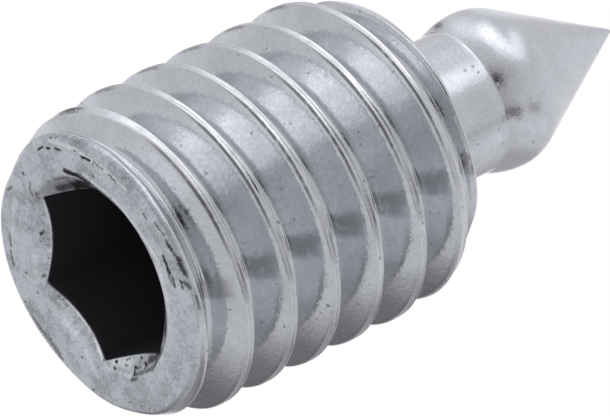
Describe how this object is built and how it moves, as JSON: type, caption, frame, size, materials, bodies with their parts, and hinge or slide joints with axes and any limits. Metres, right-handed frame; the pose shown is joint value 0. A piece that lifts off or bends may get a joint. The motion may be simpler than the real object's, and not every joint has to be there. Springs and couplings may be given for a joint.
{
  "type": "ball and cone point socket set screw",
  "caption": "Headless threaded set screw with a hexagon socket in one end and, on a turned neck at the other, a ball that tapers to a cone point.",
  "frame": {"origin": "centre of the flat face at the socket end, on which the screw stands", "axes": "+Z along the screw's axis towards the cone point; two opposite corners of the hexagon socket lie on X"},
  "size_m": [0.006, 0.006, 0.012],
  "materials": {
    "plated_steel": "bright zinc plated, tumbled, with small pits and burr marks"
  },
  "bodies": {
    "root": {"screw": "plated_steel"}
  },
  "joints": []
}
